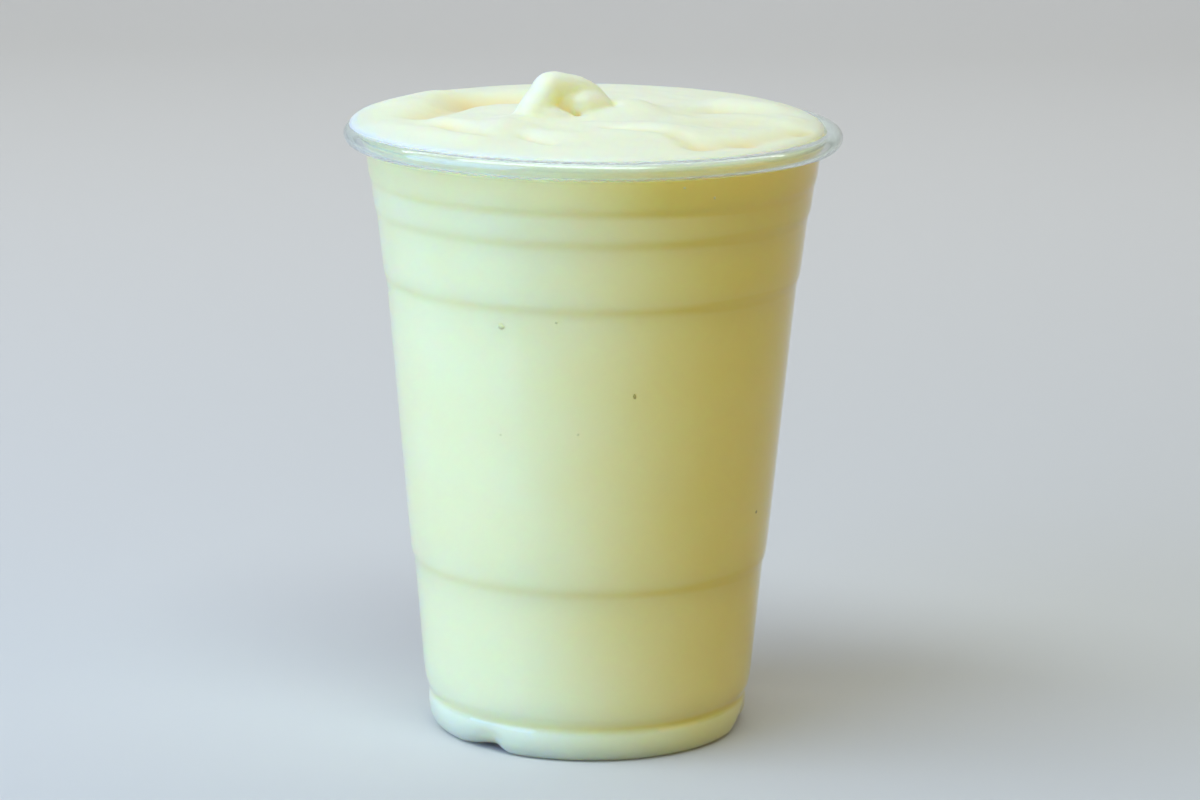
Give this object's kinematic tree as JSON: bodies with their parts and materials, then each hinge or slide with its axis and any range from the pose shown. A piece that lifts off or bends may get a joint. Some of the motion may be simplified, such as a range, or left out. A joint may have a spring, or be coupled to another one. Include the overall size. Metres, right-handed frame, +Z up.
{
  "type": "frozen pina colada in a clear plastic cup",
  "caption": "Pale yellow frozen cocktail filling a clear tapered plastic cup with a rolled rim, standing above the rim as a soft pillow with a curled peak.",
  "frame": {"origin": "centre of the foot's contact ring, on the surface that the cup stands on", "axes": "+Z up along the cup's axis, -Y towards the viewer, +X to the viewer's right"},
  "size_m": [0.0978, 0.0978, 0.1319],
  "materials": {
    "cup": "clear, smooth and glossy",
    "drink": "moist, soft frozen cream"
  },
  "bodies": {
    "root": {"cup": "cup", "drink": "drink"}
  },
  "joints": []
}
